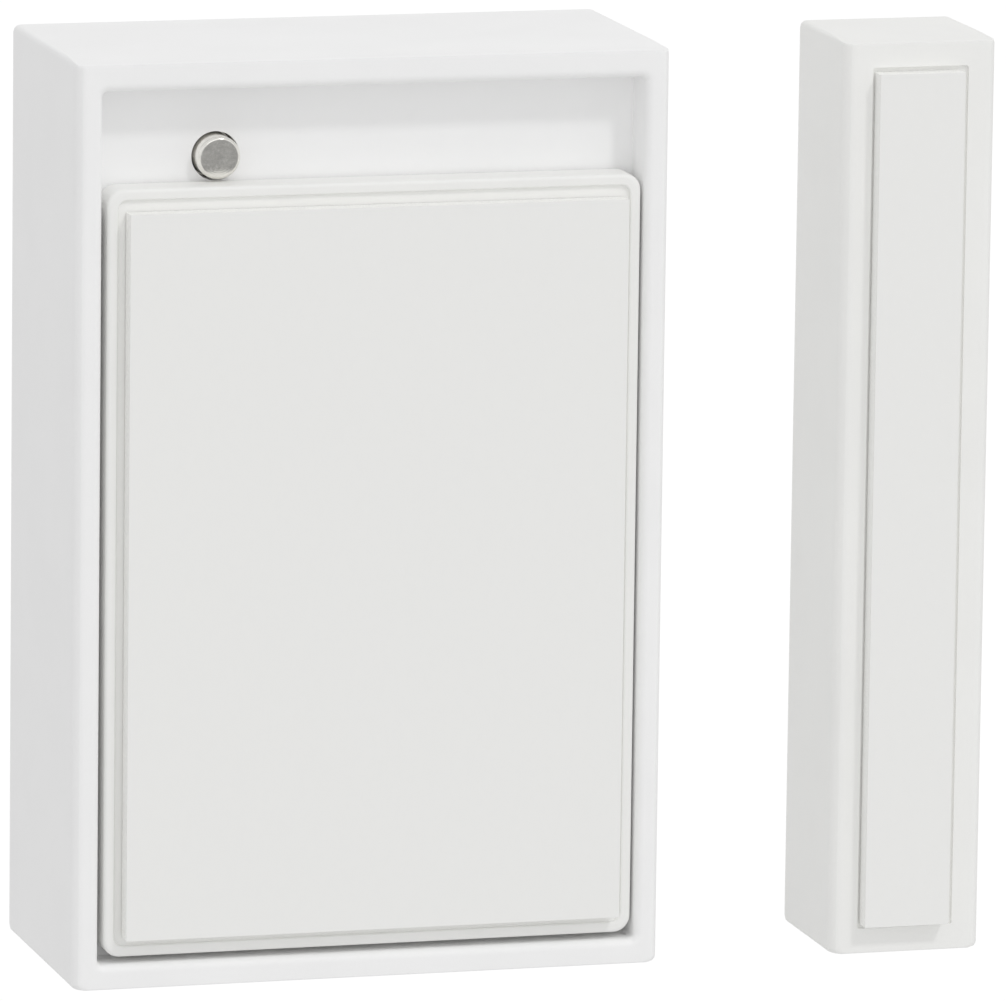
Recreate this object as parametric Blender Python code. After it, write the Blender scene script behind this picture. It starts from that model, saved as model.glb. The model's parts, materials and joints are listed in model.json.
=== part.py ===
"""Door contact sensor: a wireless sensor on its wall plate, and a slim magnet unit beside it.

The frame: +X to the right as seen from the wall, +Z up, +Y out of the wall into the room.
The origin is on the wall plane, at the centre of the sensor's outline.
All lengths in the constants are millimetres; MM turns them into metres.
"""
import math

import bmesh
import bpy
from mathutils import Vector

MM = 0.001
GAP = 0.3                      # clearance between two touching pieces
BOND = 0.1                     # glue line behind an adhesive pad
PAST = 1.0                     # how far a cutter runs past what it cuts
ROOT = 0.4                     # overlap of two shapes that are joined

# Sensor housing
SENSOR_W = 42.0
SENSOR_H = 64.5
SENSOR_D = 20.4
RIM_Y = 0.8                    # rear rim stands off the wall by the pad's thickness
ROOM_Y = RIM_Y + SENSOR_D
CORNER_R = 0.45                # edges that run away from the wall
REAR_SIDE_R = 0.8              # upright edges of the rear rim
REAR_END_R = 0.1              # top and bottom edges of the rear rim
ROOM_R = 1.45                  # edges round the room face
TOP_DRAFT = 0.22               # how much lower the top stands at the rear
TOP_DRAFT_L = 5.0              # over this length
RIM_LEFT = 1.85
RIM_RIGHT = 1.75
RIM_TOP = 2.1
RIM_BOTTOM = 1.73
RIM_SOFT_R = 0.6              # inner edge of the rim
RECESS_X = (RIM_LEFT - RIM_RIGHT) / 2
RECESS_Z = (RIM_BOTTOM - RIM_TOP) / 2
RECESS_W = SENSOR_W - RIM_LEFT - RIM_RIGHT
RECESS_H = SENSOR_H - RIM_TOP - RIM_BOTTOM
RECESS_D = 3.3
RECESS_CORNER_R = 0.3
FLOOR_Y = RIM_Y + RECESS_D
FLOOR_T = 1.5
INNER_Y = FLOOR_Y + FLOOR_T
WALL_X = 1.95                  # side wall thickness round the cavity
WALL_Z = 2.1
CAVITY_W = SENSOR_W - 2 * WALL_X
CAVITY_H = SENSOR_H - 2 * WALL_Z
CAVITY_CORNER_R = 1.0

# Front cover
COVER_T = 1.6
COVER_Y = ROOM_Y - COVER_T
TONGUE_W = 7.0
TONGUE_T = 1.1
TONGUE_L = 3.6
TONGUE_Z = 20.0
LEDGE_IN = 0.9                 # how far a ledge reaches into the cavity
LEDGE_ROOT = 0.4               # how far it is rooted in the wall
LEDGE_W = 2.0
LEDGE_Z = 6.0
GUIDE_X = 0.0
GUIDE_Z = 25.6
GUIDE_R = 1.2
GUIDE_FLANGE = 0.8

# Mounting plate and its pegs
PLATE_X = 0.16
PLATE_Z = -3.33
PLATE_W = 37.81
PLATE_H = 53.52
PLATE_T = 2.7
PLATE_Y = RIM_Y + 0.4
PLATE_CORNER_R = 1.15
BEAD_W = 0.78
BEAD_R = 0.28
POCKET_D = 0.3
POCKET_SOFT_R = 0.15
POCKET_CORNER_R = 0.6
PEG_R = 1.5
PEG_L = 1.5
PEG_TIP = 0.3
PEG_X = 13.0
PEG_ZS = (12.0, -22.0)

# Adhesive pads
PAD_X = 0.23
PAD_Z = -3.44
PAD_W = 35.3
PAD_H = 50.58
PAD_CORNER_R = 0.12

# Rear button, its spring and its switch
BUTTON_X = -10.49
BUTTON_Z = 25.12
BUTTON_R = 1.52
BUTTON_Y = 3.0
BUTTON_CHAMFER = 0.18
BUTTON_SLANT = 0.12            # the face leans back this much per millimetre down
BUTTON_HOLE_R = 1.7
ROUND_STEPS = 64               # sides of the button and its hole
FLANGE_R = 2.3
FLANGE_T = 0.6
TAIL_R = 0.8
TAIL_END_Y = 7.4
SPRING_R = 1.75
SPRING_WIRE_R = 0.17
SPRING_TURNS = 3.0
SPRING_PLAY = 0.15             # at each end, between coil and neighbour
SWITCH_W = 4.6
SWITCH_Y = 8.8
PLUNGER_R = 1.0
PLUNGER_L = 1.6

# Circuit board and what fastens it
BOARD_W = 35.6
BOARD_H = 58.0
BOARD_Y = 10.8
BOARD_T = 1.2
TOP_Y = BOARD_Y + BOARD_T      # component side of the board
SOLDER = 0.2                   # solder under a part on the board
BOSS_R = 2.6
BOSS_X = 15.9
BOSS_ZS = (26.3, -26.3)
SCREW_R = 1.0
SCREW_HOLE_R = 1.3
SCREW_HEAD_R = 1.9
SCREW_HEAD_T = 1.3
SCREW_END_Y = 7.0
DRIVE_L = 1.1                  # half length, half width and depth of the crossed drive
DRIVE_T = 0.2
DRIVE_D = 0.6

# Coin cell and its holder
CELL_X = -3.4
CELL_Z = -11.4
CELL_R = 12.25
CELL_T = 5.0
CELL_STEP = 0.5
HOLDER_R = 13.6
HOLDER_T = 5.2
HOLDER_SLOT_W = 8.0
CELL_Y = TOP_Y + GAP + 1.0
CONTACT_R = 4.0
STRIP_W = 6.0
STRIP_T = 0.35

# Reed switch
REED_X = 15.2
REED_Y = 14.2
REED_R = 1.1
REED_LEN = 14.0
LEAD_R = 0.25
LEAD_OUT = 2.6
LEAD_BEND_R = 0.8

# Parts on the board, as places and sizes along X and Z
LED_Y = TOP_Y + GAP
LED_R = 0.9
LED_H = 0.95
SHIELD_X = -1.0
SHIELD_Z = 14.0
SHIELD_W = 15.0
SHIELD_H = 13.0
SHIELD_T = 2.2
CAPACITOR_X = 12.4
CAPACITOR_Z = -20.6
CAPACITOR_R = 2.5
CAPACITOR_L = 4.8
CAPACITOR_NECK = 0.15          # groove of the crimped sleeve

ANTENNA = (9.5, 25.5, 6.5, 2.2, 1.2)       # middle x and z, width, height, thickness
CHIP = (11.2, 14.5, 5.0, 5.0, 0.9)

# Magnet unit
MAG_X = 39.21
MAG_Z = -0.14
MAG_W = 11.05
MAG_H = 64.7
MAG_D = 11.62
MAG_Y = 1.25
MAG_ROOM_Y = MAG_Y + MAG_D
MAG_WALL = 1.3
MAG_CORNER_R = 0.4
MAG_SIDE_R = 0.9               # upright edges of the rear face
MAG_END_R = 0.1                # top and bottom edges of the rear face
MAG_ROOM_R = 1.0
MAG_POCKET_DX = -0.05
MAG_POCKET_W = 6.94
MAG_POCKET_H = 61.03
MAG_POCKET_D = 0.25
MAG_BACK_T = 2.0
MAG_PAD_W = 6.16
MAG_PAD_H = 60.4
MAG_PAD_DX = -0.27
MAG_PAD_DZ = -0.06
BAR_W = 6.0
BAR_H = 36.0
BAR_T = 6.0
RIB_T = 1.2
RIB_D = 5.0


# ---------------------------------------------------------------- helpers

def clear_scene():
    for item in list(bpy.data.objects):
        bpy.data.objects.remove(item, do_unlink=True)


def finish_material(name, colour, roughness, metallic=0.0, alpha=1.0):
    material = bpy.data.materials.new(name)
    material.use_nodes = True
    shader = material.node_tree.nodes["Principled BSDF"]
    shader.inputs["Base Color"].default_value = (*colour, 1.0)
    shader.inputs["Roughness"].default_value = roughness
    shader.inputs["Metallic"].default_value = metallic
    shader.inputs["Alpha"].default_value = alpha
    return material


def add_object(name, mesh_data, material):
    """Closes a bmesh into a named object with outward faces."""
    bmesh.ops.recalc_face_normals(mesh_data, faces=mesh_data.faces)
    mesh = bpy.data.meshes.new(name)
    mesh_data.to_mesh(mesh)
    mesh_data.free()
    mesh.shade_smooth()
    mesh.set_sharp_from_angle(angle=math.radians(35))
    if material is not None:
        mesh.materials.append(material)
    item = bpy.data.objects.new(name, mesh)
    bpy.context.collection.objects.link(item)
    return item


def place(item, x=0.0, y=0.0, z=0.0):
    """Moves an object to a point given in millimetres."""
    item.location = Vector((x, y, z)) * MM
    return item


def rounded_rectangle(half_w, half_h, radius, steps):
    """Points (x, z) of a rectangle with round corners, going once round."""
    radius = max(0.02, min(radius, half_w * 0.999, half_h * 0.999))
    points = []
    for quarter in range(4):
        sign_x = (1, -1, -1, 1)[quarter]
        sign_z = (1, 1, -1, -1)[quarter]
        for step in range(steps + 1):
            angle = math.radians(90) * (quarter + step / steps)
            x = sign_x * (half_w - radius) + radius * math.cos(angle)
            z = sign_z * (half_h - radius) + radius * math.sin(angle)
            points.append((x, z))
    return points


def add_stack(mesh_data, sections, steps, x=0.0, z=0.0):
    """Joins rounded rectangles (y, half_w, half_h, radius) into one closed body along Y."""
    rings = []
    for y, half_w, half_h, radius in sections:
        outline = rounded_rectangle(half_w, half_h, radius, steps)
        rings.append([mesh_data.verts.new(Vector((px + x, y, pz + z)) * MM) for px, pz in outline])
    count = len(rings[0])
    for lower, upper in zip(rings, rings[1:]):
        for i in range(count):
            j = (i + 1) % count
            mesh_data.faces.new((lower[i], lower[j], upper[j], upper[i]))
    mesh_data.faces.new(rings[0])
    mesh_data.faces.new(rings[-1])


def stack(name, sections, material=None, steps=4, x=0.0, z=0.0):
    mesh_data = bmesh.new()
    add_stack(mesh_data, sections, steps)
    return place(add_object(name, mesh_data, material), x=x, z=z)


def round_inset(depth, radius):
    """How far a round edge stands in from the side, at a depth below the face."""
    if depth >= radius:
        return 0.0
    return radius - math.sqrt(radius ** 2 - (radius - depth) ** 2)


def round_depths(radius, steps):
    """Depths below the face at which a round edge is cut into sections."""
    return [radius * (1 - math.cos(math.radians(90) * step / steps)) for step in range(steps + 1)]


def soft_sections(y0, y1, width, height, corner, near, far, near_steps=4, far_steps=4):
    """Sections of a block from y0 to y1. Its edges are rounded by near at y0 and far at y1;
    each is one radius, or a pair: for the upright edges, and for the top and bottom edges."""
    near_side, near_end = near if isinstance(near, tuple) else (near, near)
    sections = []
    depths = set(round_depths(near_side, near_steps)) | set(round_depths(near_end, near_steps))
    for depth in sorted(depths):
        half_w = width / 2 - round_inset(depth, near_side)
        half_h = height / 2 - round_inset(depth, near_end)
        sections.append((y0 + depth, half_w, half_h, corner))
    for depth in reversed(round_depths(far, far_steps)):
        inset = round_inset(depth, far)
        sections.append((y1 - depth, width / 2 - inset, height / 2 - inset, corner + 0.6 * inset))
    return sections


def flared_sections(y0, y1, width, height, corner, flare, steps=4):
    """Sections of a cutter from below y0 to y1 whose mouth at y0 opens by a round flare."""
    half_w, half_h = width / 2, height / 2
    sections = [(y0 - PAST, half_w + flare, half_h + flare, corner + flare)]
    for step in range(steps + 1):
        angle = math.radians(90) * (1 - step / steps)
        grow = flare * (1 - math.cos(angle))
        y = y0 + flare * (1 - math.sin(angle))
        sections.append((y, half_w + grow, half_h + grow, corner + grow))
    sections.append((y1, half_w, half_h, corner))
    return sections


def straight(y0, y1, width, height, corner):
    return [(y0, width / 2, height / 2, corner), (y1, width / 2, height / 2, corner)]


def add_turned(mesh_data, profile, segments, x=0.0, z=0.0):
    """Turns a profile of (radius, y) about the Y axis; a closed profile off the axis makes a ring."""
    on_axis = profile[0][0] == 0.0
    rings = []
    for radius, y in profile:
        if radius == 0.0:
            rings.append([mesh_data.verts.new(Vector((x, y, z)) * MM)])
            continue
        ring = []
        for i in range(segments):
            angle = 2 * math.pi * i / segments
            point = Vector((x + radius * math.cos(angle), y, z + radius * math.sin(angle)))
            ring.append(mesh_data.verts.new(point * MM))
        rings.append(ring)
    pairs = list(zip(rings, rings[1:]))
    if not on_axis:
        pairs.append((rings[-1], rings[0]))
    for lower, upper in pairs:
        for i in range(segments):
            j = (i + 1) % segments
            if len(lower) == 1:
                mesh_data.faces.new((lower[0], upper[i], upper[j]))
            elif len(upper) == 1:
                mesh_data.faces.new((lower[i], lower[j], upper[0]))
            else:
                mesh_data.faces.new((lower[i], lower[j], upper[j], upper[i]))


def turned(name, profile, material=None, segments=32, x=0.0, z=0.0):
    mesh_data = bmesh.new()
    add_turned(mesh_data, profile, segments)
    return place(add_object(name, mesh_data, material), x=x, z=z)


def rod_profile(radius, y0, y1):
    return [(0.0, y0), (radius, y0), (radius, y1), (0.0, y1)]


def add_block(mesh_data, low, high):
    """Adds a plain box between two corners."""
    size = Vector(high) - Vector(low)
    middle = (Vector(high) + Vector(low)) / 2
    made = bmesh.ops.create_cube(mesh_data, size=1.0)
    for vertex in made["verts"]:
        vertex.co = Vector(middle[i] + vertex.co[i] * size[i] for i in range(3)) * MM


def boolean(item, tool, operation):
    """Cuts or joins with a hidden tool object."""
    tool.hide_render = True
    tool.display_type = "WIRE"
    modifier = item.modifiers.new(operation.title(), "BOOLEAN")
    modifier.operation = operation
    modifier.solver = "EXACT"
    modifier.object = tool


def wire(name, points, radius, material, closed_round=2):
    """A round wire through points in millimetres."""
    curve = bpy.data.curves.new(name, "CURVE")
    curve.dimensions = "3D"
    curve.bevel_depth = radius * MM
    curve.bevel_resolution = closed_round
    curve.use_fill_caps = True
    spline = curve.splines.new("POLY")
    spline.points.add(len(points) - 1)
    for slot, point in zip(spline.points, points):
        slot.co = (*(Vector(point) * MM), 1.0)
    curve.materials.append(material)
    item = bpy.data.objects.new(name, curve)
    bpy.context.collection.objects.link(item)
    return item


# ---------------------------------------------------------------- sensor housing and cover

def boss_places():
    return [(side * BOSS_X, z) for side in (-1, 1) for z in BOSS_ZS]


def lower_top(item, name, x, top_z, rear_y, width):
    """Slopes the top face down a little towards the wall."""
    half_w = width / 2 + PAST
    start_z = top_z - TOP_DRAFT * (1 + PAST / TOP_DRAFT_L)
    outline = [(rear_y - PAST, start_z), (rear_y + TOP_DRAFT_L, top_z),
               (rear_y + TOP_DRAFT_L, top_z + PAST), (rear_y - PAST, top_z + PAST)]
    mesh_data = bmesh.new()
    left = [mesh_data.verts.new(Vector((x - half_w, y, z)) * MM) for y, z in outline]
    right = [mesh_data.verts.new(Vector((x + half_w, y, z)) * MM) for y, z in outline]
    mesh_data.faces.new(left)
    mesh_data.faces.new(right)
    for i in range(len(outline)):
        j = (i + 1) % len(outline)
        mesh_data.faces.new((left[i], left[j], right[j], right[i]))
    boolean(item, add_object(name, mesh_data, None), "DIFFERENCE")


def peg_places():
    return [(PLATE_X + side * PEG_X, z) for side in (-1, 1) for z in PEG_ZS]


def sensor_housing(material):
    """Side walls, rear rim and recess floor in one moulding, open to the room."""
    body = stack(
        "sensor_housing",
        soft_sections(RIM_Y, ROOM_Y, SENSOR_W, SENSOR_H, CORNER_R,
                      (REAR_SIDE_R, REAR_END_R), ROOM_R, 3, 5),
        material, steps=3)
    lower_top(body, "housing_draft", 0.0, SENSOR_H / 2, RIM_Y, SENSOR_W)
    hollows = bmesh.new()
    recess = flared_sections(RIM_Y, FLOOR_Y, RECESS_W, RECESS_H, RECESS_CORNER_R, RIM_SOFT_R, 3)
    add_stack(hollows, recess, 3, RECESS_X, RECESS_Z)
    add_stack(hollows, straight(INNER_Y, ROOM_Y + PAST, CAVITY_W, CAVITY_H, CAVITY_CORNER_R), 3)
    boolean(body, add_object("housing_hollows", hollows, None), "DIFFERENCE")

    added = bmesh.new()
    for x, z in boss_places():
        add_turned(added, rod_profile(BOSS_R, INNER_Y - ROOT, BOARD_Y - GAP), 24, x, z)
    for side in (-1, 1):
        for z in (-LEDGE_Z, LEDGE_Z):
            inner = side * (CAVITY_W / 2 - LEDGE_IN)
            outer = side * (CAVITY_W / 2 + LEDGE_ROOT)
            low = (min(inner, outer), INNER_Y - ROOT, z - LEDGE_W / 2)
            high = (max(inner, outer), COVER_Y - GAP, z + LEDGE_W / 2)
            add_block(added, low, high)
    boolean(body, add_object("housing_bosses", added, None), "UNION")

    holes = bmesh.new()
    for x, z in boss_places():
        add_turned(holes, rod_profile(SCREW_HOLE_R, SCREW_END_Y - GAP, BOARD_Y + PAST), 20, x, z)
    for x, z in peg_places():
        add_turned(holes, rod_profile(PEG_R + GAP, FLOOR_Y - PAST, INNER_Y + PAST), 20, x, z)
    hole = rod_profile(BUTTON_HOLE_R, FLOOR_Y - PAST, INNER_Y + PAST)
    add_turned(holes, hole, ROUND_STEPS, BUTTON_X, BUTTON_Z)
    boolean(body, add_object("housing_holes", holes, None), "DIFFERENCE")
    return body


def front_cover(material):
    """Flat panel let into the room face, with tongues that grip the side walls."""
    width = CAVITY_W - 2 * GAP
    height = CAVITY_H - 2 * GAP
    panel = stack(
        "front_cover", soft_sections(COVER_Y, ROOM_Y, width, height, 0.8, 0.02, 0.3, 1, 3),
        material, steps=3)
    tongues = bmesh.new()
    for side in (-1, 1):
        for z in (-TONGUE_Z, TONGUE_Z):
            outer = side * width / 2
            inner = side * (width / 2 - TONGUE_T)
            low = (min(inner, outer), COVER_Y - TONGUE_L, z - TONGUE_W / 2)
            high = (max(inner, outer), COVER_Y + ROOT, z + TONGUE_W / 2)
            add_block(tongues, low, high)
    boolean(panel, add_object("cover_tongues", tongues, None), "UNION")
    window = turned("cover_window", rod_profile(GUIDE_R + GAP, COVER_Y - PAST, ROOM_Y + PAST),
                    None, 24, GUIDE_X, GUIDE_Z)
    boolean(panel, window, "DIFFERENCE")
    return panel


def light_guide(material):
    """Stepped clear rod that carries the status light to the room face."""
    start_y = LED_Y + LED_H + GAP
    flange_y = COVER_Y - GAP
    flange_r = GUIDE_R + GUIDE_FLANGE
    profile = [(0.0, start_y), (GUIDE_R, start_y), (GUIDE_R, flange_y - GUIDE_FLANGE),
               (flange_r, flange_y - GUIDE_FLANGE), (flange_r, flange_y), (GUIDE_R, flange_y),
               (GUIDE_R, ROOM_Y - 0.1), (0.0, ROOM_Y)]
    return turned("light_guide", profile, material, 24, GUIDE_X, GUIDE_Z)


# ---------------------------------------------------------------- wall plate and pads

def mounting_plate(material):
    """Plate in the recess: a bead round its edge, a pocket for the pad, pegs behind."""
    back_y = PLATE_Y + PLATE_T
    body = stack(
        "mounting_plate",
        soft_sections(PLATE_Y, back_y, PLATE_W, PLATE_H, PLATE_CORNER_R, BEAD_R, 0.1, 3, 1),
        material, steps=6, x=PLATE_X, z=PLATE_Z)
    pocket = stack(
        "plate_pocket",
        flared_sections(PLATE_Y, PLATE_Y + POCKET_D, PLATE_W - 2 * BEAD_W,
                        PLATE_H - 2 * BEAD_W, POCKET_CORNER_R, POCKET_SOFT_R, 2),
        None, steps=3, x=PLATE_X, z=PLATE_Z)
    boolean(body, pocket, "DIFFERENCE")
    pegs = bmesh.new()
    for x, z in peg_places():
        tip_y = back_y + PEG_L
        profile = [(0.0, back_y - ROOT), (PEG_R, back_y - ROOT), (PEG_R, tip_y - PEG_TIP),
                   (PEG_R - PEG_TIP, tip_y), (0.0, tip_y)]
        add_turned(pegs, profile, 20, x, z)
    boolean(body, add_object("plate_pegs", pegs, None), "UNION")
    return body


def adhesive_pad(name, x, z, width, height, back_y, material):
    return stack(name, straight(0.0, back_y, width, height, PAD_CORNER_R), material, steps=1,
                 x=x, z=z)


# ---------------------------------------------------------------- button, spring and switch

def rear_button(material):
    """Round metal push button with a flange that keeps it in the housing."""
    flange_y = INNER_Y + GAP
    chamfer_y = BUTTON_Y + BUTTON_CHAMFER
    profile = [(0.0, BUTTON_Y), (BUTTON_R - BUTTON_CHAMFER, BUTTON_Y), (BUTTON_R, chamfer_y),
               (BUTTON_R, flange_y), (FLANGE_R, flange_y), (FLANGE_R, flange_y + FLANGE_T),
               (TAIL_R, flange_y + FLANGE_T), (TAIL_R, TAIL_END_Y), (0.0, TAIL_END_Y)]
    mesh_data = bmesh.new()
    add_turned(mesh_data, profile, ROUND_STEPS)
    for vertex in mesh_data.verts:
        if vertex.co.y < flange_y * MM - BUTTON_CHAMFER * MM:
            vertex.co.y -= BUTTON_SLANT * vertex.co.z
    return place(add_object("rear_button", mesh_data, material), x=BUTTON_X, z=BUTTON_Z)


def button_spring(material):
    """Coil between the button's flange and the switch."""
    start = INNER_Y + GAP + FLANGE_T + SPRING_WIRE_R + SPRING_PLAY
    end = SWITCH_Y - SPRING_WIRE_R - SPRING_PLAY
    steps = int(SPRING_TURNS * 14)
    points = []
    for step in range(steps + 1):
        angle = 2 * math.pi * SPRING_TURNS * step / steps
        y = start + (end - start) * step / steps
        points.append((BUTTON_X + SPRING_R * math.cos(angle), y,
                       BUTTON_Z + SPRING_R * math.sin(angle)))
    return wire("button_spring", points, SPRING_WIRE_R, material, 1)


def switch_body(material):
    body = stack("switch_body", straight(SWITCH_Y, BOARD_Y - GAP, SWITCH_W, SWITCH_W, 0.4),
                 material, steps=2, x=BUTTON_X, z=BUTTON_Z)
    bore = turned("switch_bore", rod_profile(PLUNGER_R + 0.2, SWITCH_Y - PAST, BOARD_Y - 2 * GAP),
                  None, 24, BUTTON_X, BUTTON_Z)
    boolean(body, bore, "DIFFERENCE")
    return body


def switch_plunger(material):
    y = TAIL_END_Y + GAP
    profile = [(0.0, y), (PLUNGER_R - 0.2, y), (PLUNGER_R, y + 0.2), (PLUNGER_R, y + PLUNGER_L),
               (0.0, y + PLUNGER_L)]
    return turned("switch_plunger", profile, material, 24, BUTTON_X, BUTTON_Z)


# ---------------------------------------------------------------- circuit board and its parts

def circuit_board(material):
    board = stack("circuit_board", straight(BOARD_Y, TOP_Y, BOARD_W, BOARD_H, 1.0), material, steps=3)
    holes = bmesh.new()
    for x, z in boss_places():
        add_turned(holes, rod_profile(SCREW_HOLE_R, BOARD_Y - PAST, TOP_Y + PAST), 20, x, z)
    boolean(board, add_object("board_holes", holes, None), "DIFFERENCE")
    return board


def board_screw(name, x, z, material):
    """Pan-head screw with a crossed drive."""
    head_y = TOP_Y + GAP
    top = head_y + SCREW_HEAD_T
    crown = SCREW_HEAD_R * 0.25
    profile = [(0.0, SCREW_END_Y), (SCREW_R, SCREW_END_Y + 0.6 * SCREW_R), (SCREW_R, head_y),
               (SCREW_HEAD_R, head_y), (SCREW_HEAD_R, top - crown),
               (SCREW_HEAD_R - crown, top), (0.0, top)]
    screw = turned(name, profile, material, 20, x, z)
    for number, (half_x, half_z) in enumerate(((DRIVE_L, DRIVE_T), (DRIVE_T, DRIVE_L))):
        arm = bmesh.new()
        add_block(arm, (-half_x, top - DRIVE_D, -half_z), (half_x, top + PAST, half_z))
        tool = place(add_object(name + "_drive_" + str(number), arm, None), x=x, z=z)
        boolean(screw, tool, "DIFFERENCE")
    return screw


def battery_holder(material):
    """Round cup for the coin cell, with a hole for the lower contact and a gap in its wall."""
    y0 = TOP_Y + GAP
    y1 = y0 + HOLDER_T
    holder = turned("battery_holder", rod_profile(HOLDER_R, y0, y1), material, 48, CELL_X, CELL_Z)
    inside = turned("holder_inside", rod_profile(CELL_R + GAP, CELL_Y - GAP, y1 + PAST), None, 48,
                    CELL_X, CELL_Z)
    boolean(holder, inside, "DIFFERENCE")
    openings = bmesh.new()
    add_turned(openings, rod_profile(CONTACT_R + GAP, y0 - PAST, CELL_Y), 24, CELL_X, CELL_Z)
    boolean(holder, add_object("holder_hole", openings, None), "DIFFERENCE")
    slot = bmesh.new()
    top = CELL_Z + HOLDER_R
    low = (CELL_X - HOLDER_SLOT_W / 2, CELL_Y - GAP, top - HOLDER_SLOT_W / 2)
    add_block(slot, low, (CELL_X + HOLDER_SLOT_W / 2, y1 + PAST, top + PAST))
    boolean(holder, add_object("holder_slot", slot, None), "DIFFERENCE")
    return holder


def coin_cell(material):
    """Coin cell with its stepped lower face."""
    seal_r = CELL_R - 1.6
    step_y = CELL_Y + CELL_STEP
    end_y = CELL_Y + CELL_T
    edge = 0.3
    profile = [(0.0, CELL_Y), (seal_r, CELL_Y), (seal_r + edge, step_y), (CELL_R - edge, step_y),
               (CELL_R, step_y + edge), (CELL_R, end_y - edge), (CELL_R - edge, end_y), (0.0, end_y)]
    return turned("coin_cell", profile, material, 48, CELL_X, CELL_Z)


def lower_contact(material):
    y = TOP_Y + SOLDER
    profile = [(0.0, y), (CONTACT_R, y), (CONTACT_R, y + STRIP_T), (CONTACT_R / 2, CELL_Y - GAP),
               (0.0, CELL_Y - GAP)]
    return turned("lower_contact", profile, material, 24, CELL_X, CELL_Z)


def upper_contact(material):
    """Bent strip: a foot on the board, a leg up beside the cell and an arm over it."""
    foot_y = TOP_Y + SOLDER
    arm_y = CELL_Y + CELL_T + GAP
    leg_z = CELL_Z + HOLDER_R + 0.5
    foot_z = leg_z + 2.5
    tip_z = CELL_Z + 4.0
    outline = [(foot_z, foot_y), (foot_z, foot_y + STRIP_T), (leg_z + STRIP_T, foot_y + STRIP_T),
               (leg_z + STRIP_T, arm_y + STRIP_T), (tip_z, arm_y + STRIP_T), (tip_z, arm_y),
               (leg_z, arm_y), (leg_z, foot_y)]
    mesh_data = bmesh.new()
    near = [mesh_data.verts.new(Vector((-STRIP_W / 2, y, z)) * MM) for z, y in outline]
    far = [mesh_data.verts.new(Vector((STRIP_W / 2, y, z)) * MM) for z, y in outline]
    mesh_data.faces.new(near)
    mesh_data.faces.new(far)
    for i in range(len(outline)):
        j = (i + 1) % len(outline)
        mesh_data.faces.new((near[i], near[j], far[j], far[i]))
    return place(add_object("upper_contact", mesh_data, material), x=CELL_X)


def reed_capsule(material):
    """Sealed glass tube of the reed switch, lying along Z."""
    end = REED_LEN / 2
    half = [(0.0, end), (0.45 * REED_R, end), (0.85 * REED_R, end - 0.6), (REED_R, end - 1.5)]
    profile = half + [(r, -y) for r, y in reversed(half)]
    capsule = turned("reed_capsule", profile, material, 16, REED_X, 0.0)
    capsule.location.y = REED_Y * MM
    capsule.rotation_euler = (math.radians(90), 0.0, 0.0)
    return capsule


def reed_lead(name, side, material):
    """Wire from one end of the capsule, bent down to the board."""
    start = side * (REED_LEN / 2 + GAP)
    bend = side * (REED_LEN / 2 + LEAD_OUT)
    points = [(REED_X, REED_Y, start)]
    for step in range(5):
        angle = math.radians(90) * step / 4
        y = REED_Y - LEAD_BEND_R * (1 - math.cos(angle))
        z = bend - side * LEAD_BEND_R * (1 - math.sin(angle))
        points.append((REED_X, y, z))
    points.append((REED_X, TOP_Y + SOLDER, bend))
    return wire(name, points, LEAD_R, material, 1)


def radio_shield(material):
    """Pressed metal can over the radio."""
    y0 = TOP_Y + SOLDER
    sections = soft_sections(y0, y0 + SHIELD_T, SHIELD_W, SHIELD_H, 0.8, 0.02, 0.3, 1, 2)
    return stack("radio_shield", sections, material, steps=2, x=SHIELD_X, z=SHIELD_Z)


def small_block(name, x, z, width, height, thickness, material):
    y0 = TOP_Y + SOLDER
    sections = soft_sections(y0, y0 + thickness, width, height, 0.1, 0.02, 0.1, 1, 1)
    return stack(name, sections, material, steps=1, x=x, z=z)


def status_led(material):
    top = LED_Y + LED_H
    profile = [(0.0, LED_Y), (LED_R, LED_Y), (LED_R, LED_Y + 0.5 * LED_H),
               (0.7 * LED_R, top - 0.1 * LED_H), (0.0, top)]
    return turned("status_led", profile, material, 16, GUIDE_X, GUIDE_Z)


def buffer_capacitor(material):
    y = TOP_Y + SOLDER
    radius, neck = CAPACITOR_R, CAPACITOR_R - CAPACITOR_NECK
    top = y + CAPACITOR_L
    profile = [(0.0, y), (neck, y), (radius, y + 0.2), (radius, y + 1.0), (neck, y + 1.2),
               (radius, y + 1.4), (radius, top - 0.2), (neck, top), (0.0, top)]
    return turned("buffer_capacitor", profile, material, 24, CAPACITOR_X, CAPACITOR_Z)


# ---------------------------------------------------------------- magnet unit

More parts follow.
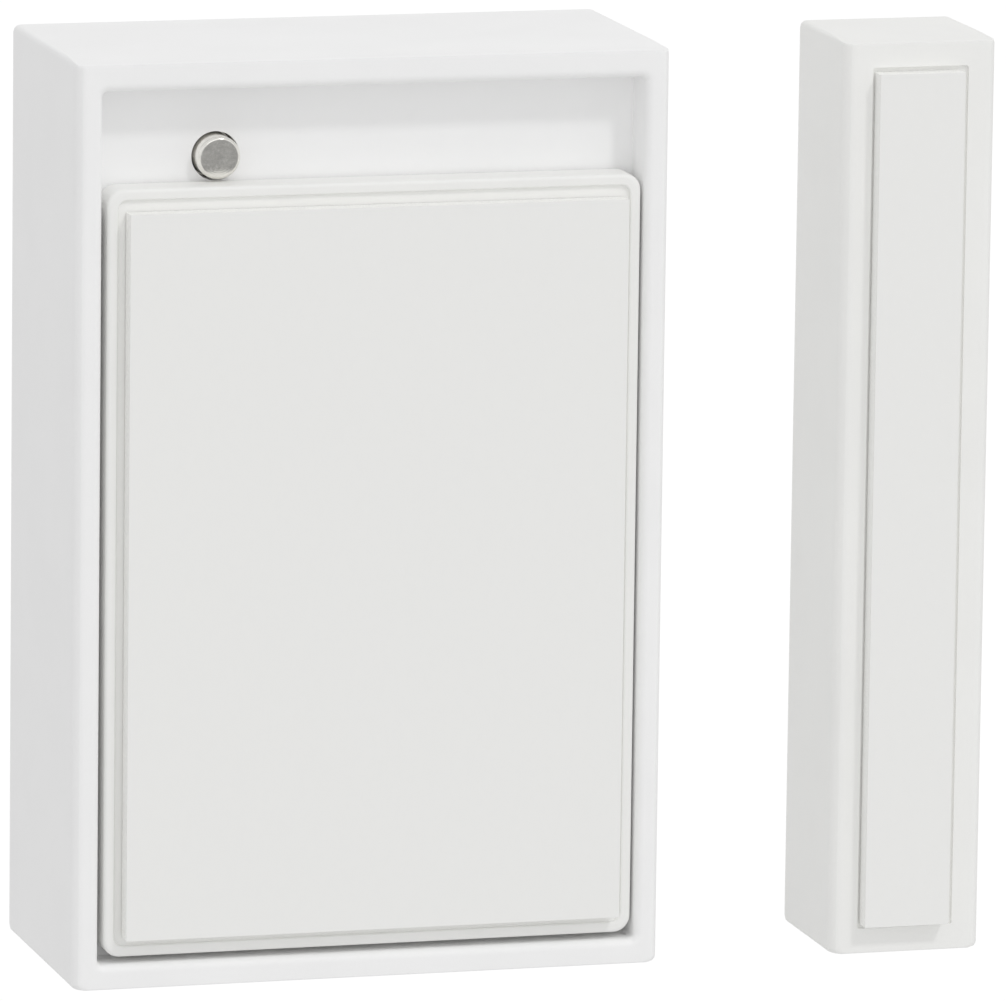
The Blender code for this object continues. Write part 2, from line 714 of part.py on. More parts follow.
def magnet_housing(material):
    """Slim shell open to the room, with a shallow pocket in its rear face."""
    body = stack(
        "magnet_housing",
        soft_sections(MAG_Y, MAG_ROOM_Y, MAG_W, MAG_H, MAG_CORNER_R,
                      (MAG_SIDE_R, MAG_END_R), MAG_ROOM_R, 3, 4),
        material, steps=3, x=MAG_X, z=MAG_Z)
    lower_top(body, "magnet_draft", MAG_X, MAG_Z + MAG_H / 2, MAG_Y, MAG_W)
    hollows = bmesh.new()
    pocket = straight(MAG_Y - PAST, MAG_Y + MAG_POCKET_D, MAG_POCKET_W, MAG_POCKET_H, PAD_CORNER_R)
    add_stack(hollows, pocket, 1, MAG_POCKET_DX, MAG_PAD_DZ)
    cavity = straight(MAG_Y + MAG_BACK_T, MAG_ROOM_Y + PAST, MAG_W - 2 * MAG_WALL,
                      MAG_H - 2 * MAG_WALL, MAG_CORNER_R)
    add_stack(hollows, cavity, 2)
    tool = place(add_object("magnet_hollows", hollows, None), x=MAG_X, z=MAG_Z)
    boolean(body, tool, "DIFFERENCE")
    ribs = bmesh.new()
    for side in (-1, 1):
        middle = side * (BAR_H / 2 + GAP + RIB_T / 2)
        half_w = MAG_W / 2 - MAG_WALL + ROOT
        back_y = MAG_Y + MAG_BACK_T
        low = (-half_w, back_y - ROOT, middle - RIB_T / 2)
        high = (half_w, back_y + RIB_D, middle + RIB_T / 2)
        add_block(ribs, low, high)
    tool = place(add_object("magnet_ribs", ribs, None), x=MAG_X, z=MAG_Z)
    boolean(body, tool, "UNION")
    return body


def magnet_cover(material):
    width = MAG_W - 2 * MAG_WALL - 2 * GAP
    height = MAG_H - 2 * MAG_WALL - 2 * GAP
    sections = soft_sections(MAG_ROOM_Y - MAG_WALL, MAG_ROOM_Y, width, height, 0.5, 0.02, 0.25, 1, 2)
    return stack("magnet_cover", sections, material, steps=2, x=MAG_X, z=MAG_Z)


def bar_magnet(material):
    y0 = MAG_Y + MAG_BACK_T + GAP
    sections = soft_sections(y0, y0 + BAR_T, BAR_W, BAR_H, 0.3, 0.3, 0.3, 1, 1)
    return stack("bar_magnet", sections, material, steps=1, x=MAG_X, z=MAG_Z)


def magnet_spacer(material):
    """Foam strip that keeps the magnet from rattling."""
    y0 = MAG_Y + MAG_BACK_T + GAP + BAR_T + GAP
    y1 = MAG_ROOM_Y - MAG_WALL - GAP
    return stack("magnet_spacer", straight(y0, y1, BAR_W - 1.0, BAR_H - 4.0, 0.3), material, steps=1,
                 x=MAG_X, z=MAG_Z)


# ---------------------------------------------------------------- assembly

def build():
    clear_scene()
    white = finish_material("white_plastic", (0.80, 0.80, 0.80), 0.45)
    warm = finish_material("warm_white_plastic", (0.76, 0.76, 0.74), 0.5)
    foam = finish_material("adhesive_foam", (0.74, 0.74, 0.72), 0.75)
    nickel = finish_material("nickel", (0.55, 0.53, 0.50), 0.35, 1.0)
    steel = finish_material("spring_steel", (0.60, 0.60, 0.62), 0.3, 1.0)
    dark = finish_material("black_plastic", (0.03, 0.03, 0.035), 0.5)
    board = finish_material("board_laminate", (0.03, 0.18, 0.09), 0.4)
    glass = finish_material("reed_glass", (0.75, 0.85, 0.80), 0.1, 0.0, 0.4)
    clear = finish_material("light_guide_clear", (0.85, 0.88, 0.90), 0.15, 0.0, 0.5)
    gold = finish_material("gold_plate", (0.83, 0.62, 0.27), 0.3, 1.0)
    ferrite = finish_material("magnet_ferrite", (0.10, 0.10, 0.11), 0.5, 0.6)

    mounting_plate(warm)
    adhesive_pad("sensor_pad", PAD_X, PAD_Z, PAD_W, PAD_H, PLATE_Y + POCKET_D - BOND, foam)

    sensor_housing(white)
    front_cover(white)
    light_guide(clear)
    circuit_board(board)
    for number, (x, z) in enumerate(boss_places(), start=1):
        board_screw("board_screw_" + str(number), x, z, steel)
    battery_holder(dark)
    coin_cell(steel)
    lower_contact(gold)
    upper_contact(steel)
    reed_capsule(glass)
    reed_lead("reed_lead_upper", 1, gold)
    reed_lead("reed_lead_lower", -1, gold)
    radio_shield(steel)
    small_block("chip_antenna", *ANTENNA, warm)
    small_block("controller_chip", *CHIP, dark)
    status_led(clear)
    buffer_capacitor(dark)
    switch_body(dark)

    rear_button(nickel)
    button_spring(steel)
    switch_plunger(warm)

    magnet_housing(warm)
    magnet_cover(warm)
    bar_magnet(ferrite)
    magnet_spacer(foam)
    adhesive_pad("magnet_pad", MAG_X + MAG_PAD_DX, MAG_Z + MAG_PAD_DZ, MAG_PAD_W, MAG_PAD_H,
                 MAG_Y + MAG_POCKET_D - BOND, foam)


build()
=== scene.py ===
"""Looks of the door contact sensor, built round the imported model.

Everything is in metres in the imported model's frame: +X towards the magnet unit, +Y out of the
wall into the room, +Z up. The camera stands on the wall side, so the sensor's rear recess with
its wall plate, pad and metal button, and the magnet unit's pad, face it.
"""
import json
import math

import bmesh
import bpy
from mathutils import Matrix, Vector, noise


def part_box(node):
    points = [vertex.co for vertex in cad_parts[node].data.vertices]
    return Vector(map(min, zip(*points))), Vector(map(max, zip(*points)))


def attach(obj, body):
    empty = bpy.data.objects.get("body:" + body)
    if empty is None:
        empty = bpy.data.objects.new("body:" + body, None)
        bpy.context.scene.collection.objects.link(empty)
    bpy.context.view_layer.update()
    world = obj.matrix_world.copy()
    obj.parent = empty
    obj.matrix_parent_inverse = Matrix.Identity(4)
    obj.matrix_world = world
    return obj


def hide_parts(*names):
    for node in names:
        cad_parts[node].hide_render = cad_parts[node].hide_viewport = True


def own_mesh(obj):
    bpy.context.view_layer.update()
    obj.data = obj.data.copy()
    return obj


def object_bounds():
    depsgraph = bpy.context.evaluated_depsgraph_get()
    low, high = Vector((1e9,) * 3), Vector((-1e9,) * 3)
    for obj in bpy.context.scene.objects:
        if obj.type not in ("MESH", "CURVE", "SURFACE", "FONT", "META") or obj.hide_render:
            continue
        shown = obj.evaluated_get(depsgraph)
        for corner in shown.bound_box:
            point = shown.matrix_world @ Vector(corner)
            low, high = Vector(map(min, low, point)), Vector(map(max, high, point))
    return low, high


MM = 0.001
UM = 0.000001

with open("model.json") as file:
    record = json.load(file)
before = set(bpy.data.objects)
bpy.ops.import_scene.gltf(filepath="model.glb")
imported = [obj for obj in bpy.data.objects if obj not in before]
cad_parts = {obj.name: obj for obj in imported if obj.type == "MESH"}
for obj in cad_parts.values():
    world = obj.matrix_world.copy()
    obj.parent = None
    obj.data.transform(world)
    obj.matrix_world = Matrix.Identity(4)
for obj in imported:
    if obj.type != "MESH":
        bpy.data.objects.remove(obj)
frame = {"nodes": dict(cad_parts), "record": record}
NODES = frame["nodes"]
CAD_LOW, CAD_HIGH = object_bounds()
CAD_MIDDLE = (CAD_LOW + CAD_HIGH) / 2

# Camera, at the photograph's viewing angle
CAMERA_PLACE = Vector((-0.195376, -0.721154, 0.141138))
CAMERA_YAW = 15.83             # degrees left of the wall's normal
CAMERA_PITCH = 10.58           # degrees above the horizon
CAMERA_ROLL = 0.73             # degrees
CAMERA_LENS = 396.0            # millimetres
CAMERA_FILM = 36.0
CAMERA_NEAR = 0.01
CAMERA_FAR = 50.0

# Studio
LAMP_DISTANCE = 1.3            # both lamps, from the object's middle
KEY_DIRECTION = Vector((0.53, -1.0, 1.18)).normalized()
KEY_SIZE = 0.15
KEY_POWER = 2.6
FILL_DIRECTION = Vector((-0.02, -1.0, 0.1)).normalized()
FILL_SIZE = 0.5
FILL_POWER = 0.62
SKY_LIGHT = 0.78
GROUND_LIGHT = 0.69
HORIZON = 0.05                 # half width of the change between them
BACKDROP = 1.02                # the world as the camera sees it: pure white
DIFFUSE_BOUNCES = 6            # white plastic passes light on many times
MAX_BOUNCES = 8
FLOOR_DROP = 0.09              # floor below the lowest point
FLOOR_WHITE = 0.8
FLOOR_FULL = 0.10              # the floor fades into the white backdrop between these radii
FLOOR_END = 0.27

# Dim patch of the studio, which the button's face mirrors
DIM_DIRECTION = Vector((0.268, -0.876, -0.402)).normalized()
DIM_INNER = math.radians(9.0)  # fully dim within this angle
DIM_OUTER = math.radians(17.0)  # and no longer dim past this one
DIM_LIGHT = 0.30

# Edges of the CAD nodes
MOULDED_EDGE = 0.07 * MM
SMALL_EDGE = 0.04 * MM
BUTTON_EDGE = 0.05 * MM
WELD_GAP = 0.001 * MM          # the frame's facets come unjoined
FLAT_ANGLE = math.radians(1.0)
EDGE_ANGLE = math.radians(35.0)
EDGE_SEGMENTS = 3
ROUNDED = {                    # the other nodes keep their edges as they are
    "sensor_housing": MOULDED_EDGE,
    "front_cover": MOULDED_EDGE,
    "mounting_plate": SMALL_EDGE,
    "magnet_housing": SMALL_EDGE,
    "magnet_cover": SMALL_EDGE,
    "rear_button": BUTTON_EDGE,
}

# Foam tapes
LINER_T = 0.10 * MM            # release paper on the tape's face
LINER_EDGE = 0.012 * MM
CORE_INSET = 0.012 * MM        # the foam stands in a little under the paper
CUT_HOLLOW = 0.025 * MM        # and its cut sides are slightly hollow
CUT_WANDER = 0.006 * MM        # the knife's unsteadiness
WANDER_SIZE = 1.6 * MM
CUT_STEP = 0.5 * MM
CORE_STEPS = 6
PAPER = 0                      # zones of a tape, from its face to its back
FOAM = 1

# Button spring
COIL_TURNS = 3.5
COIL_STEPS = 20                # along the wire, for each turn
WIRE_R = 0.16 * MM
WIRE_SIDES = 10
COIL_CLOSE = 0.08              # how far the end turns close up, as a part of the length


# ---------------------------------------------------------------- material nodes

class Graph:
    """A material's node tree with short ways to add and link nodes."""

    def __init__(self, name, colour, roughness, metallic=0.0):
        self.material = bpy.data.materials.new(name)
        self.material.use_nodes = True
        self.tree = self.material.node_tree
        self.shader = self.tree.nodes["Principled BSDF"]
        self.shader.inputs["Base Color"].default_value = (*colour, 1.0)
        self.shader.inputs["Roughness"].default_value = roughness
        self.shader.inputs["Metallic"].default_value = metallic
        self.place = self.add("ShaderNodeTexCoord").outputs["Object"]

    def add(self, kind, **settings):
        node = self.tree.nodes.new(kind)
        for key, value in settings.items():
            setattr(node, key, value)
        return node

    def link(self, source, target):
        self.tree.links.new(source, target)

    def noise(self, scale, detail=2.0, roughness=0.5, place=None):
        """Noise value; its scale is in features per metre."""
        node = self.add("ShaderNodeTexNoise")
        node.inputs["Scale"].default_value = scale
        node.inputs["Detail"].default_value = detail
        node.inputs["Roughness"].default_value = roughness
        self.link(place or self.place, node.inputs["Vector"])
        return node.outputs["Fac"]

    def stretched(self, scale, centre=(0.0, 0.0, 0.0)):
        """Coordinates measured from a centre and stretched by a scale along each axis."""
        node = self.add("ShaderNodeMapping", vector_type="TEXTURE")
        node.inputs["Location"].default_value = centre
        node.inputs["Scale"].default_value = [1.0 / part for part in scale]
        self.link(self.place, node.inputs["Vector"])
        return node.outputs["Vector"]

    def ranged(self, source, low, high, from_low=0.3, from_high=0.7):
        """A value spread from low to high; the given source limits suit noise."""
        node = self.add("ShaderNodeMapRange")
        node.inputs["From Min"].default_value = from_low
        node.inputs["From Max"].default_value = from_high
        node.inputs["To Min"].default_value = low
        node.inputs["To Max"].default_value = high
        self.link(source, node.inputs["Value"])
        return node.outputs["Result"]

    def vary_colour(self, source, dark, light):
        """Base colour between two tones."""
        node = self.add("ShaderNodeMix", data_type="RGBA")
        node.inputs["A"].default_value = (*dark, 1.0)
        node.inputs["B"].default_value = (*light, 1.0)
        self.link(self.ranged(source, 0.0, 1.0), node.inputs["Factor"])
        self.link(node.outputs["Result"], self.shader.inputs["Base Color"])

    def vary_roughness(self, source, low, high):
        self.link(self.ranged(source, low, high), self.shader.inputs["Roughness"])

    def bump(self, source, height, before=None):
        """Surface relief; height is in metres between the source's 0 and 1."""
        node = self.add("ShaderNodeBump")
        node.inputs["Strength"].default_value = 1.0
        node.inputs["Distance"].default_value = height
        self.link(source, node.inputs["Height"])
        if before is not None:
            self.link(before, node.inputs["Normal"])
        self.link(node.outputs["Normal"], self.shader.inputs["Normal"])
        return node.outputs["Normal"]


def tint(colour, factor):
    """The colour made darker or lighter."""
    return tuple(part * factor for part in colour)


def moulded_plastic(name, colour, roughness, grain=2.2 * UM, variation=0.010):
    """Matt moulded plastic: spark-eroded grain, faint flow mottling, uneven gloss."""
    graph = Graph(name, colour, roughness)
    mottle = graph.noise(160.0, 3.0)
    grain_fine = graph.noise(9000.0, 2.0)
    grain_wide = graph.noise(2600.0, 2.0)
    graph.vary_colour(mottle, tint(colour, 1.0 - variation), tint(colour, 1.0 + variation))
    graph.vary_roughness(graph.noise(700.0, 3.0), roughness - 0.05, roughness + 0.05)
    first = graph.bump(grain_fine, grain)
    graph.bump(grain_wide, grain * 1.6, first)
    graph.shader.inputs["Specular IOR Level"].default_value = 0.35
    return graph.material


def paper_liner(name, colour):
    """Release paper on the pad: faint fibres under a silicone sheen."""
    graph = Graph(name, colour, 0.55)
    fibre_place = graph.stretched((1600.0, 1600.0, 900.0))
    fibres = graph.noise(1.0, 4.0, 0.6, fibre_place)
    graph.vary_colour(fibres, tint(colour, 0.997), tint(colour, 1.003))
    graph.vary_roughness(graph.noise(1500.0, 3.0), 0.5, 0.6)
    first = graph.bump(fibres, 0.4 * UM)
    graph.bump(graph.noise(7000.0, 2.0), 0.3 * UM, first)
    graph.shader.inputs["Specular IOR Level"].default_value = 0.3
    return graph.material


def cell_foam(name, colour, cell, depth):
    """Closed-cell foam seen on a cut edge, with painted shade in the pits of its cells."""
    graph = Graph(name, colour, 0.9)
    cells = graph.add("ShaderNodeTexVoronoi")
    cells.inputs["Scale"].default_value = 1.0 / cell
    graph.link(graph.place, cells.inputs["Vector"])
    distance = cells.outputs["Distance"]
    # painted shade: the colour is darker where the bump sinks the cell pits
    graph.vary_colour(distance, tint(colour, 0.94), tint(colour, 1.02))
    first = graph.bump(distance, depth)
    graph.bump(graph.noise(12000.0, 2.0), 3.0 * UM, first)
    graph.shader.inputs["Specular IOR Level"].default_value = 0.2
    return graph.material


def plated_metal(name, colour, roughness, grain_scale=(4000.0, 4000.0, 4000.0), relief=1.2 * UM):
    """Plated or rolled metal with a fine directional grain."""
    graph = Graph(name, colour, roughness, 1.0)
    lines = graph.noise(1.0, 3.0, 0.55, graph.stretched(grain_scale))
    graph.vary_colour(lines, tint(colour, 0.9), tint(colour, 1.08))
    graph.vary_roughness(graph.noise(1200.0, 3.0), roughness - 0.06, roughness + 0.08)
    graph.bump(lines, relief)
    return graph.material


def turned_nickel(name, colour, roughness, centre, relief=1.0 * UM):
    """Face-turned nickel: fine rings round the button's axis, broken up by a satin grain."""
    graph = Graph(name, colour, roughness, 1.0)
    rings = graph.add("ShaderNodeTexWave", wave_type="RINGS", rings_direction="Y")
    rings.inputs["Scale"].default_value = 2200.0
    rings.inputs["Distortion"].default_value = 2.5
    rings.inputs["Detail"].default_value = 3.0
    rings.inputs["Detail Scale"].default_value = 2.0
    graph.link(graph.stretched((1.0, 1.0, 1.0), centre), rings.inputs["Vector"])
    speckle = graph.noise(5200.0, 4.0, 0.6)
    blotch = graph.noise(1500.0, 2.0)
    graph.vary_colour(blotch, tint(colour, 0.93), tint(colour, 1.06))
    graph.vary_roughness(speckle, roughness - 0.06, roughness + 0.08)
    first = graph.bump(rings.outputs["Fac"], relief)
    graph.bump(speckle, relief * 1.4, first)
    return graph.material


def clear_plastic(name, colour):
    """Clear moulding with a slightly uneven polish."""
    graph = Graph(name, colour, 0.12)
    graph.shader.inputs["Transmission Weight"].default_value = 0.85
    graph.shader.inputs["IOR"].default_value = 1.49
    graph.vary_roughness(graph.noise(900.0, 2.0), 0.08, 0.18)
    graph.bump(graph.noise(4000.0, 2.0), 1.0 * UM)
    return graph.material


def solder_mask(name, colour):
    """Board laminate: raised tracks under green mask and a faint glass weave."""
    graph = Graph(name, colour, 0.35)
    tracks = graph.add("ShaderNodeTexBrick", offset=0.35, squash=0.6)
    tracks.inputs["Scale"].default_value = 260.0
    tracks.inputs["Mortar Size"].default_value = 0.035
    tracks.inputs["Color1"].default_value = (0.0, 0.0, 0.0, 1.0)
    tracks.inputs["Color2"].default_value = (0.0, 0.0, 0.0, 1.0)
    tracks.inputs["Mortar"].default_value = (1.0, 1.0, 1.0, 1.0)
    turn = graph.add("ShaderNodeMapping")
    turn.inputs["Rotation"].default_value = (math.radians(90), 0.0, 0.0)
    graph.link(graph.place, turn.inputs["Vector"])
    graph.link(turn.outputs["Vector"], tracks.inputs["Vector"])
    graph.vary_colour(tracks.outputs["Color"], tint(colour, 0.8), tint(colour, 1.5))
    graph.vary_roughness(graph.noise(1500.0, 2.0), 0.28, 0.42)
    first = graph.bump(tracks.outputs["Color"], 30.0 * UM)
    graph.bump(graph.noise(3500.0, 2.0), 3.0 * UM, first)
    return graph.material


def glass_tube(name, colour):
    """Faintly tinted, drawn glass."""
    graph = Graph(name, colour, 0.06)
    graph.shader.inputs["Transmission Weight"].default_value = 0.9
    graph.shader.inputs["IOR"].default_value = 1.5
    graph.vary_colour(graph.noise(900.0, 2.0), tint(colour, 0.95), tint(colour, 1.02))
    graph.bump(graph.noise(1200.0, 2.0), 2.0 * UM)
    return graph.material


# ---------------------------------------------------------------- materials

HOUSING_WHITE = (0.965, 0.965, 0.965)
MAGNET_WHITE = (0.938, 0.938, 0.921)
PLATE_WHITE = (0.925, 0.925, 0.908)
PAPER_WHITE = (0.915, 0.915, 0.899)
FOAM_WHITE = (0.97, 0.97, 0.95)
NICKEL = (0.93, 0.915, 0.87)
STEEL = (0.58, 0.58, 0.60)


def make_finishes():
    """One material for each of the record's material slots."""
    return {
        "housing_plastic": moulded_plastic("housing_white", HOUSING_WHITE, 0.45),
        "plate_plastic": moulded_plastic("plate_white", PLATE_WHITE, 0.48),
        "magnet_unit_plastic": moulded_plastic("magnet_unit_white", MAGNET_WHITE, 0.47),
        "adhesive_foam": cell_foam("tape_foam", FOAM_WHITE, 0.12 * MM, 12.0 * UM),
        "spacer_foam": cell_foam("grey_foam", (0.22, 0.22, 0.23), 0.4 * MM, 100.0 * UM),
        "clear_plastic": clear_plastic("clear_moulding", (0.92, 0.94, 0.95)),
        "board_laminate": solder_mask("green_solder_mask", (0.03, 0.20, 0.10)),
        "black_plastic": moulded_plastic("black_moulding", (0.03, 0.03, 0.035), 0.5, 4.0 * UM, 0.2),
        "cell_steel": plated_metal("cell_can", (0.62, 0.62, 0.63), 0.26, (800.0, 800.0, 9000.0)),
        "gold_plate": plated_metal("gold_contact", (0.80, 0.62, 0.30), 0.28),
        "spring_steel": plated_metal("bright_steel", STEEL, 0.25, (900.0, 9000.0, 9000.0)),
        "screw_steel": plated_metal("zinc_plate", (0.50, 0.50, 0.52), 0.33),
        "nickel": turned_nickel("turned_nickel", NICKEL, 0.18, button_axis()),
        "reed_glass": glass_tube("reed_tube_glass", (0.80, 0.92, 0.86)),
        "ceramic": moulded_plastic("ceramic_white", (0.86, 0.84, 0.78), 0.4, 2.0 * UM, 0.03),
        "capacitor_sleeve": moulded_plastic("dark_sleeve", (0.05, 0.06, 0.12), 0.3, 2.0 * UM, 0.1),
        "ferrite": moulded_plastic("sintered_ferrite", (0.09, 0.09, 0.10), 0.62, 10.0 * UM, 0.15),
    }


def button_axis():
    """A point on the metal button's axis."""
    low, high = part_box("rear_button")
    return (low + high) / 2


# ---------------------------------------------------------------- CAD nodes

def refine(item, edge):
    """Joins and merges flat facets, rounds sharp edges and weights the shading by face area."""
    for polygon in item.data.polygons:
        polygon.use_smooth = True
    joined = item.modifiers.new("Joined", "WELD")
    joined.merge_threshold = WELD_GAP
    flat = item.modifiers.new("Flat", "DECIMATE")
    flat.decimate_type = "DISSOLVE"
    flat.angle_limit = FLAT_ANGLE
    if edge:
        bevel = item.modifiers.new("Edge", "BEVEL")
        bevel.width = edge
        bevel.segments = EDGE_SEGMENTS
        bevel.limit_method = "ANGLE"
        bevel.angle_limit = EDGE_ANGLE
        bevel.use_clamp_overlap = True
        bevel.harden_normals = False
    crisp = item.modifiers.new("Crisp", "EDGE_SPLIT")
    crisp.split_angle = EDGE_ANGLE
    shade = item.modifiers.new("Shade", "WEIGHTED_NORMAL")
    shade.weight = 100
    shade.keep_sharp = True


def dress_nodes(finishes):
    """Gives every CAD node its finish and its shading."""
    for part in frame["record"]["subparts"]:
        item = NODES[part["node"]]
        item.data.materials.clear()
        item.data.materials.append(finishes[part["material_slot"]])
        refine(item, ROUNDED.get(part["node"]))


# ---------------------------------------------------------------- ringed meshes

def add_ring(mesh_data, places):
    """New vertices at the places, in order round the ring."""
    return [mesh_data.verts.new(place) for place in places]


def join_rings(front, back):
    """Faces between two rings that have the same number of points."""
    count = len(front)
    return [(front[i], front[(i + 1) % count], back[(i + 1) % count], back[i])
            for i in range(count)]


def ringed_piece(name, mesh_data, materials, place):
    """Turns finished rings into an object, shaded smooth except across its edges."""
    bmesh.ops.recalc_face_normals(mesh_data, faces=mesh_data.faces)
    mesh = bpy.data.meshes.new(name)
    mesh_data.to_mesh(mesh)
    mesh_data.free()
    for material in materials:
        mesh.materials.append(material)
    mesh.shade_smooth()
    mesh.set_sharp_from_angle(angle=EDGE_ANGLE)
    piece = bpy.data.objects.new(name, mesh)
    piece.location = place
    bpy.context.scene.collection.objects.link(piece)
    return piece


# ---------------------------------------------------------------- foam tapes

def cut_outline(half_w, half_h):
    """Evenly spaced points once round a rectangle, corners included."""
    corners = [(half_w, half_h), (-half_w, half_h), (-half_w, -half_h), (half_w, -half_h)]
    points = []
    for (x0, z0), (x1, z1) in zip(corners, corners[1:] + corners[:1]):
        count = max(2, round(math.dist((x0, z0), (x1, z1)) / CUT_STEP))
        for step in range(count):
            part = step / count
            points.append((x0 + (x1 - x0) * part, z0 + (z1 - z0) * part))
    return points


def tape_sections(thickness, lined):
    """Depth, inset and zone of each section, from the tape's face to its back."""
    sections = []
    start = 0.0
    if lined:
        start = LINER_T
        sections += [(0.0, LINER_EDGE, PAPER), (LINER_EDGE, 0.0, PAPER), (LINER_T, 0.0, PAPER)]
    for step in range(CORE_STEPS + 1):
        part = step / CORE_STEPS
        hollow = CUT_HOLLOW * math.sin(math.pi * part)
        sections.append((start + (thickness - start) * part, CORE_INSET + hollow, FOAM))
    return sections


def tape_ring(outline, half, depth, inset, zone):
    """Places round the outline at a depth; on foam the knife wanders a little."""
    places = []
    for x, z in outline:
        place = Vector((x * (1 - inset / half.x), depth - half.y, z * (1 - inset / half.z)))
        wander = noise.noise_vector(place / WANDER_SIZE) * CUT_WANDER * (zone == FOAM)
        places.append(place + Vector((wander.x, 0.0, wander.z)))
    return places


def foam_tape(name, node, body, materials):
    """Foam tape cut to the node's outline; with two materials its face carries release paper."""
    low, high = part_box(node)
    half = (high - low) / 2
    outline = cut_outline(half.x, half.z)
    sections = tape_sections(high.y - low.y, lined=len(materials) > 1)
    last = len(materials) - 1
    mesh_data = bmesh.new()
    rings = [add_ring(mesh_data, tape_ring(outline, half, *section)) for section in sections]
    for (_, _, zone), front, back in zip(sections, rings, rings[1:]):
        for corners in join_rings(front, back):
            mesh_data.faces.new(corners).material_index = min(zone, last)
    mesh_data.faces.new(rings[0])
    mesh_data.faces.new(rings[-1]).material_index = last
    tape = ringed_piece(name, mesh_data, materials, (low + high) / 2)
    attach(tape, body)
    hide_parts(node)


def add_tapes(finishes):
    """Two lined adhesive pads and the plain foam strip beside the magnet."""
    lined = (paper_liner("tape_liner", PAPER_WHITE), finishes["adhesive_foam"])
    foam_tape("sensor_tape", "sensor_pad", "wall_plate", lined)
    foam_tape("magnet_tape", "magnet_pad", "magnet", lined)
    foam_tape("magnet_cushion", "magnet_spacer", "magnet", (finishes["spacer_foam"],))


# ---------------------------------------------------------------- button spring

def wire_ring(part, radius, length):
    """Places round the wire, a part of the way along the coil."""
    angle = 2 * math.pi * COIL_TURNS * part
    rise = part - COIL_CLOSE * math.sin(2 * math.pi * part) - 0.5
    outward = Vector((math.cos(angle), 0.0, math.sin(angle)))
    centre = outward * radius + Vector((0.0, rise * length, 0.0))
    places = []
    for side in range(WIRE_SIDES):
        turn = 2 * math.pi * side / WIRE_SIDES
        offset = outward * math.cos(turn) + Vector((0.0, math.sin(turn), 0.0))
        places.append(centre + offset * WIRE_R)
    return places


def add_spring(finish):
    """Round-wire coil with closed ends."""
    low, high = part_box("button_spring")
    middle = (low + high) / 2
    radius = (high.x - low.x) / 2 - WIRE_R
    length = high.y - low.y - 2 * WIRE_R
    steps = int(COIL_TURNS * COIL_STEPS)
    mesh_data = bmesh.new()
    rings = [add_ring(mesh_data, wire_ring(step / steps, radius, length)) for step in range(steps + 1)]
    for front, back in zip(rings, rings[1:]):
        for corners in join_rings(front, back):
            mesh_data.faces.new(corners)
    mesh_data.faces.new(rings[0])
    mesh_data.faces.new(rings[-1])
    coil = ringed_piece("spring_coil", mesh_data, (finish,), middle)
    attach(coil, "sensor")
    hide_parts("button_spring")
    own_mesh(coil)


# ---------------------------------------------------------------- studio

def add_camera():
    """A long lens, left of the wall's normal and above, with the photograph's slight roll."""
    camera = bpy.data.objects.new("camera", bpy.data.cameras.new("camera"))
    camera.data.lens = CAMERA_LENS
    camera.data.sensor_width = CAMERA_FILM
    camera.data.clip_start = CAMERA_NEAR
    camera.data.clip_end = CAMERA_FAR
    turn = (Matrix.Rotation(math.radians(-CAMERA_YAW), 4, "Z")
            @ Matrix.Rotation(math.radians(90 - CAMERA_PITCH), 4, "X")
            @ Matrix.Rotation(math.radians(CAMERA_ROLL), 4, "Z"))
    camera.matrix_world = Matrix.Translation(CAMERA_PLACE) @ turn
    bpy.context.scene.collection.objects.link(camera)
    bpy.context.scene.camera = camera


def add_area(name, towards, size, power):
    """A soft round lamp that shines on the object's middle."""
    lamp = bpy.data.lights.new(name, "AREA")
    lamp.shape = "DISK"
    lamp.size = size
    lamp.energy = power
    item = bpy.data.objects.new(name, lamp)
    item.location = CAD_MIDDLE + towards * LAMP_DISTANCE
    item.rotation_mode = "QUATERNION"
    item.rotation_quaternion = towards.to_track_quat("Z", "Y")
    bpy.context.scene.collection.objects.link(item)


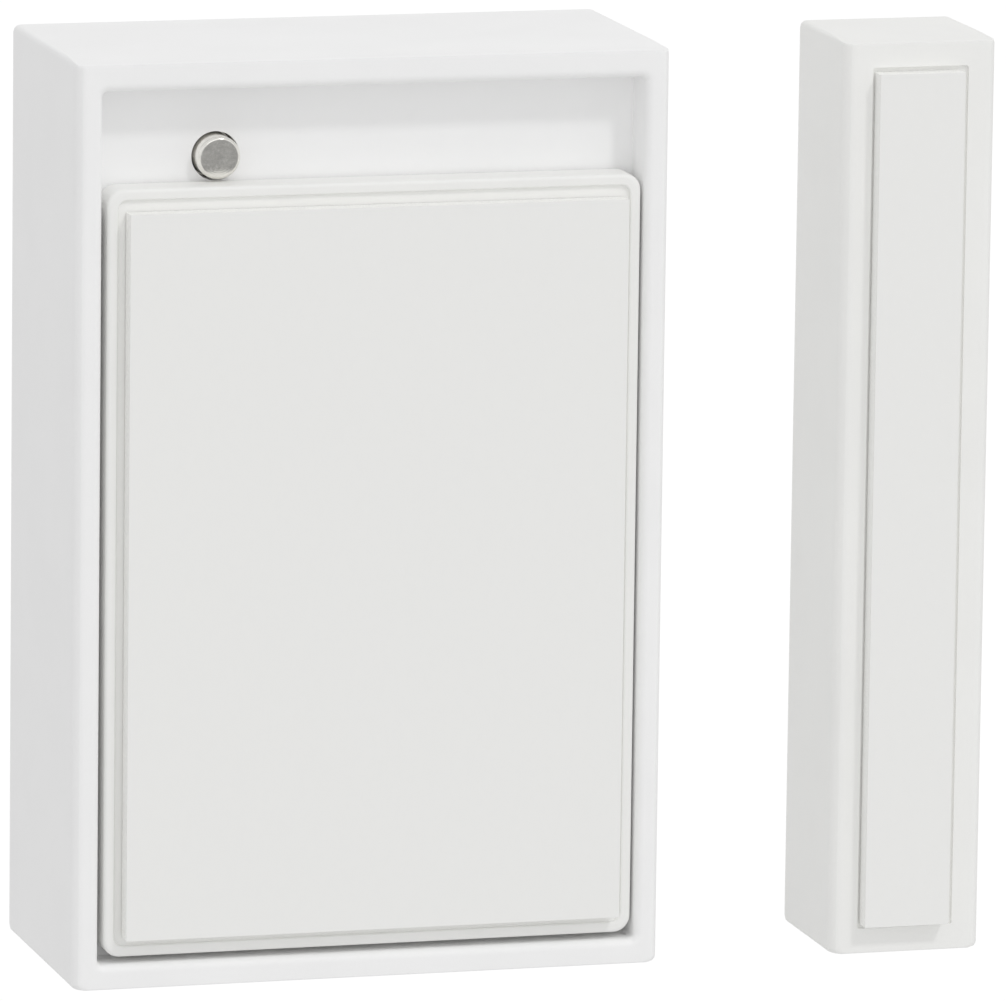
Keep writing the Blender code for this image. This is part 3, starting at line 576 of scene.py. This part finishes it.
def add_world():
    """Soft even light, a little weaker from below, in front of a pure white backdrop."""
    world = bpy.data.worlds.new("studio")
    world.use_nodes = True
    nodes, links = world.node_tree.nodes, world.node_tree.links
    direction = nodes.new("ShaderNodeTexCoord")
    parts = nodes.new("ShaderNodeSeparateXYZ")
    links.new(direction.outputs["Generated"], parts.inputs["Vector"])
    light = nodes.new("ShaderNodeMapRange")
    light.inputs["From Min"].default_value = -HORIZON
    light.inputs["From Max"].default_value = HORIZON
    light.inputs["To Min"].default_value = GROUND_LIGHT
    light.inputs["To Max"].default_value = SKY_LIGHT
    links.new(parts.outputs["Z"], light.inputs["Value"])
    facing = nodes.new("ShaderNodeVectorMath")
    facing.operation = "DOT_PRODUCT"
    facing.inputs[1].default_value = DIM_DIRECTION
    links.new(direction.outputs["Generated"], facing.inputs[0])
    dim = nodes.new("ShaderNodeMapRange")
    dim.inputs["From Min"].default_value = math.cos(DIM_OUTER)
    dim.inputs["From Max"].default_value = math.cos(DIM_INNER)
    links.new(facing.outputs["Value"], dim.inputs["Value"])
    patched = nodes.new("ShaderNodeMix")
    patched.inputs["B"].default_value = DIM_LIGHT
    links.new(dim.outputs["Result"], patched.inputs["Factor"])
    links.new(light.outputs["Result"], patched.inputs["A"])
    path = nodes.new("ShaderNodeLightPath")
    shown = nodes.new("ShaderNodeMix")
    shown.inputs["B"].default_value = BACKDROP
    links.new(path.outputs["Is Camera Ray"], shown.inputs["Factor"])
    links.new(patched.outputs["Result"], shown.inputs["A"])
    background = nodes["Background"]
    background.inputs["Color"].default_value = (1.0, 1.0, 1.0, 1.0)
    links.new(shown.outputs["Result"], background.inputs["Strength"])
    bpy.context.scene.world = world


def add_floor():
    """Plain pale floor, well below the wall-mounted object, that fades into the backdrop."""
    mesh = bpy.data.meshes.new("floor")
    corners = [(x, y, 0.0) for x, y in ((-1, -1), (1, -1), (1, 1), (-1, 1))]
    mesh.from_pydata([Vector(corner) * FLOOR_END for corner in corners], [], [(0, 1, 2, 3)])
    graph = Graph("floor_white", (FLOOR_WHITE,) * 3, 0.8)
    graph.vary_roughness(graph.noise(3.0), 0.75, 0.85)
    away = graph.add("ShaderNodeVectorMath", operation="LENGTH")
    graph.link(graph.place, away.inputs[0])
    fade = graph.ranged(away.outputs["Value"], 1.0, 0.0, FLOOR_FULL, FLOOR_END)
    graph.link(fade, graph.shader.inputs["Alpha"])
    mesh.materials.append(graph.material)
    floor = bpy.data.objects.new("floor", mesh)
    floor.location = (CAD_MIDDLE.x, CAD_MIDDLE.y, CAD_LOW.z - FLOOR_DROP)
    bpy.context.scene.collection.objects.link(floor)


def set_light_paths():
    """Enough bounces for light to reach the gaps between white pieces."""
    settings = bpy.context.scene.cycles
    settings.max_bounces = MAX_BOUNCES
    settings.diffuse_bounces = DIFFUSE_BOUNCES


def set_colour():
    """Plain display colour, so that white plastic stays white."""
    settings = bpy.context.scene.view_settings
    settings.view_transform = "Standard"
    settings.look = "None"
    settings.exposure = 0.0
    settings.gamma = 1.0


# ---------------------------------------------------------------- scene

finishes = make_finishes()
dress_nodes(finishes)
add_tapes(finishes)
add_spring(finishes["spring_steel"])
add_camera()
add_world()
add_area("key", KEY_DIRECTION, KEY_SIZE, KEY_POWER)
add_area("fill", FILL_DIRECTION, FILL_SIZE, FILL_POWER)
add_floor()
set_light_paths()
set_colour()
